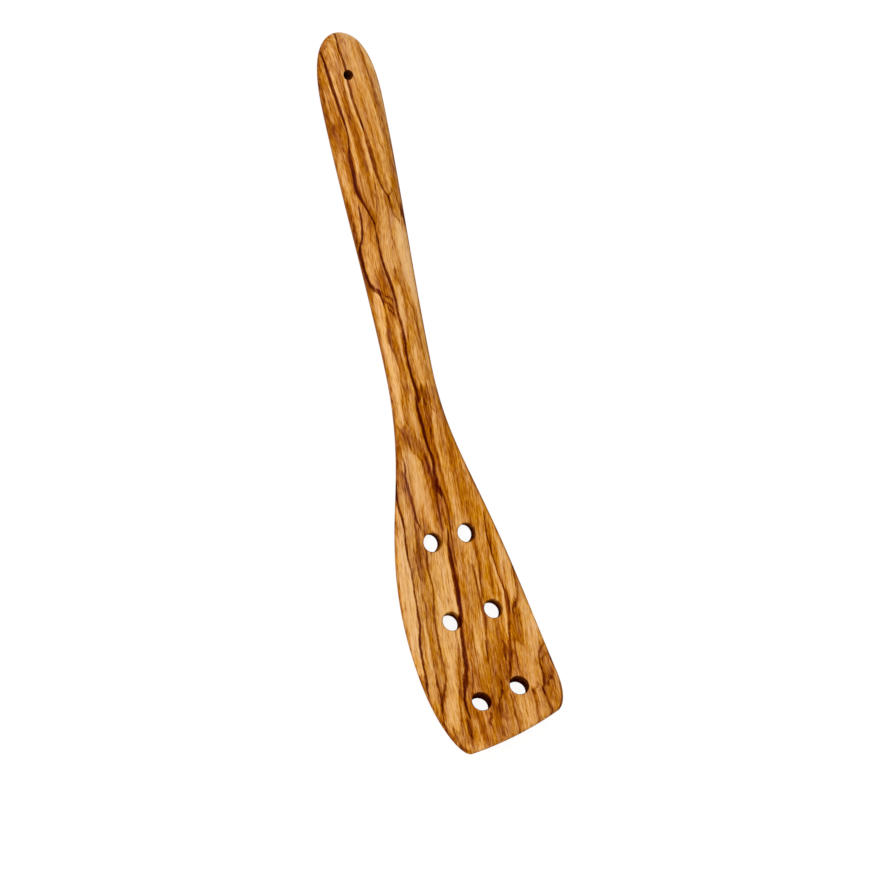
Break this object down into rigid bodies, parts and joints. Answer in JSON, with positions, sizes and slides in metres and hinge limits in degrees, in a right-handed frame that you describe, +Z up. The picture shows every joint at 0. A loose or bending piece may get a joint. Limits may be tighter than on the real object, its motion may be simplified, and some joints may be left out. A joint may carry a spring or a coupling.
{
  "type": "pancake spatula",
  "caption": "Solid olive-wood spatula with a scooped, slant-edged blade pierced by drain holes and a straight rounded handle with a hang hole, for turning pancakes.",
  "frame": {"origin": "on the flat back, under the narrowest point of the neck", "axes": "+X along the handle towards the blade's front edge, +Z up out of the food side, +Y to the side with the tight front corner"},
  "size_m": [0.2986, 0.058, 0.0376],
  "materials": {
    "olive_wood": "satin, oiled"
  },
  "bodies": {
    "root": {"spatula": "olive_wood"}
  },
  "joints": []
}
